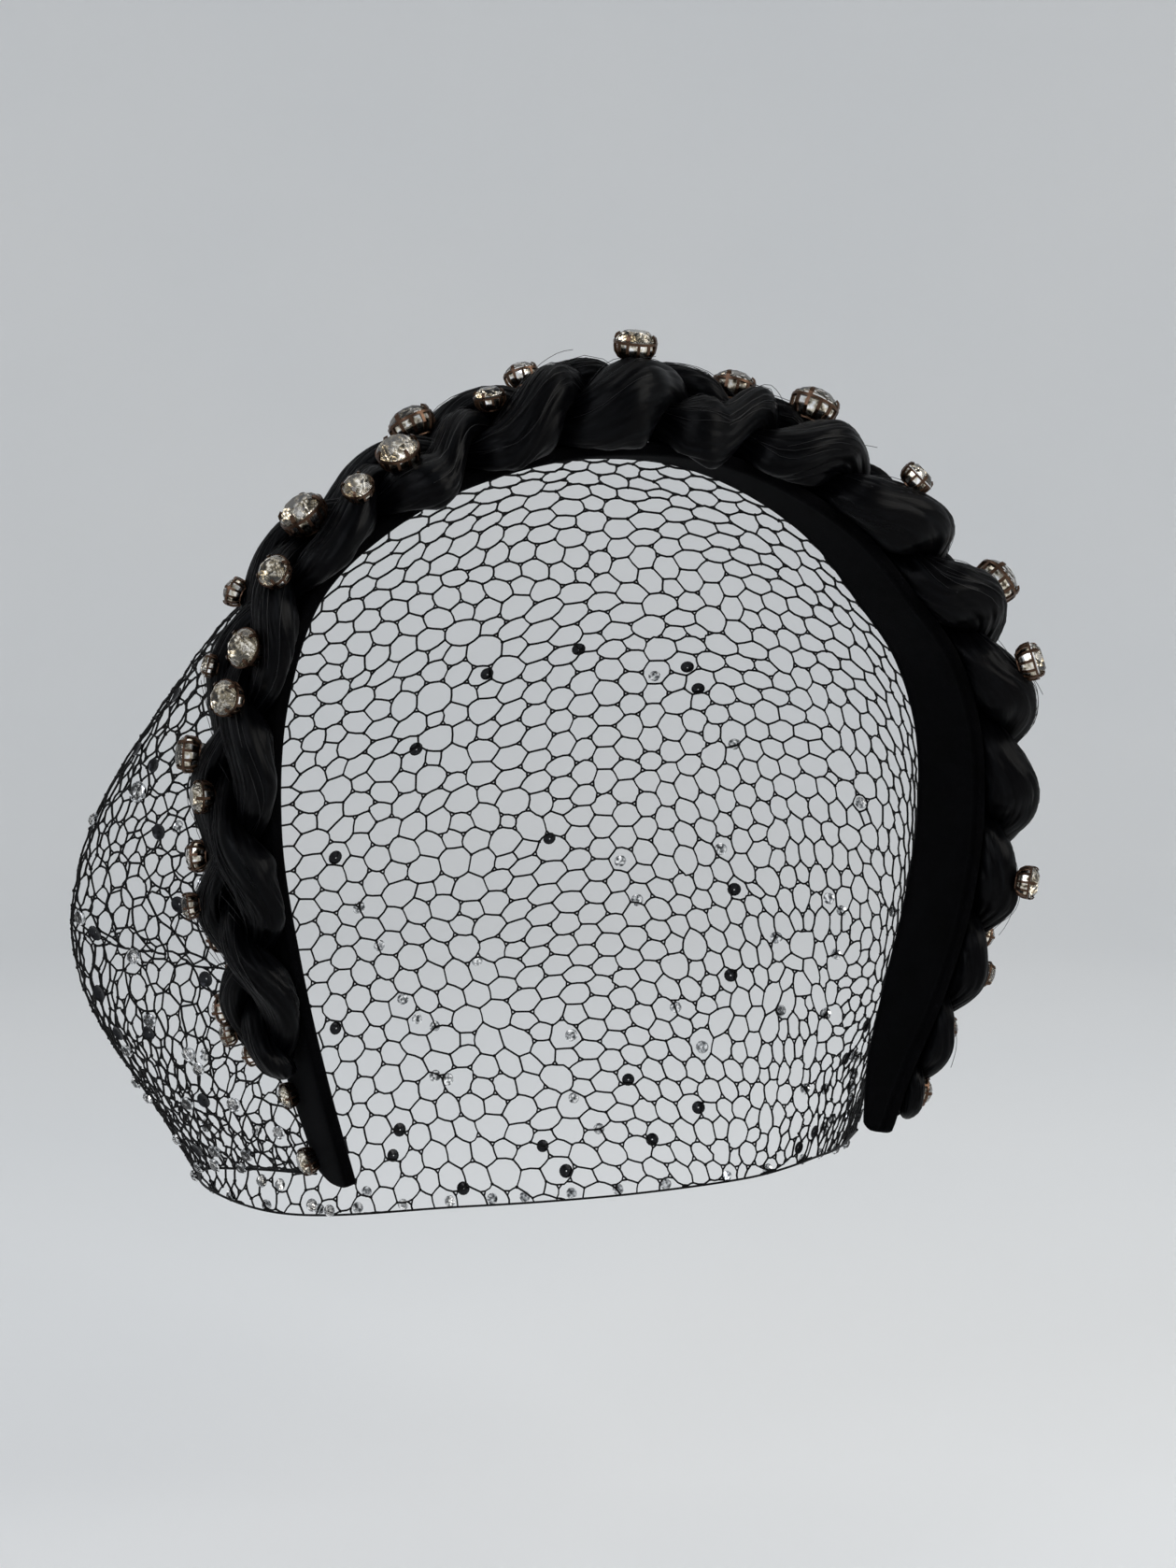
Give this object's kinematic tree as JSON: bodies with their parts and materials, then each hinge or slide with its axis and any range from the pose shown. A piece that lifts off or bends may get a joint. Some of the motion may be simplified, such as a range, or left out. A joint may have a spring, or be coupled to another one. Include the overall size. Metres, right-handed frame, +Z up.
{
  "type": "crystal headband",
  "caption": "Headband of thick black braided hair on a velvet-covered band, set with clear crystals in claw cups, with an open black net veil hanging from its far edge",
  "frame": {"origin": "inner face of the band at the crown, where the band rests on top of the head", "axes": "+X to the side that shows on the right in the picture, -Y to the pictured side (behind), +Z up"},
  "size_m": [0.2075, 0.1194, 0.2086],
  "materials": {
    "black_velvet": "short-pile black velvet",
    "black_hair": "glossy black synthetic hair",
    "clear_crystal_in_brown_gold": "foiled clear cut crystal in antique brown-gold claw cups",
    "black_net": "black knotted net thread"
  },
  "bodies": {
    "root": {"base_band": "black_velvet", "braid_strand_1": "black_hair", "braid_strand_2": "black_hair", "braid_strand_3": "black_hair", "crystal_01": "clear_crystal_in_brown_gold", "crystal_02": "clear_crystal_in_brown_gold", "crystal_03": "clear_crystal_in_brown_gold", "crystal_04": "clear_crystal_in_brown_gold", "crystal_05": "clear_crystal_in_brown_gold", "crystal_06": "clear_crystal_in_brown_gold", "crystal_07": "clear_crystal_in_brown_gold", "crystal_08": "clear_crystal_in_brown_gold", "crystal_09": "clear_crystal_in_brown_gold", "crystal_10": "clear_crystal_in_brown_gold", "crystal_11": "clear_crystal_in_brown_gold", "crystal_12": "clear_crystal_in_brown_gold", "crystal_13": "clear_crystal_in_brown_gold", "crystal_14": "clear_crystal_in_brown_gold", "crystal_15": "clear_crystal_in_brown_gold", "crystal_16": "clear_crystal_in_brown_gold", "crystal_17": "clear_crystal_in_brown_gold", "crystal_18": "clear_crystal_in_brown_gold", "crystal_19": "clear_crystal_in_brown_gold", "crystal_20": "clear_crystal_in_brown_gold", "crystal_21": "clear_crystal_in_brown_gold", "crystal_22": "clear_crystal_in_brown_gold", "crystal_23": "clear_crystal_in_brown_gold", "crystal_24": "clear_crystal_in_brown_gold", "crystal_25": "clear_crystal_in_brown_gold", "crystal_26": "clear_crystal_in_brown_gold", "crystal_27": "clear_crystal_in_brown_gold", "crystal_28": "clear_crystal_in_brown_gold", "crystal_29": "clear_crystal_in_brown_gold", "crystal_30": "clear_crystal_in_brown_gold", "crystal_31": "clear_crystal_in_brown_gold", "crystal_32": "clear_crystal_in_brown_gold", "crystal_33": "clear_crystal_in_brown_gold", "crystal_34": "clear_crystal_in_brown_gold", "crystal_35": "clear_crystal_in_brown_gold", "crystal_36": "clear_crystal_in_brown_gold", "crystal_37": "clear_crystal_in_brown_gold", "crystal_38": "clear_crystal_in_brown_gold", "crystal_39": "clear_crystal_in_brown_gold", "crystal_40": "clear_crystal_in_brown_gold", "veil_net": "black_net"}
  },
  "joints": []
}
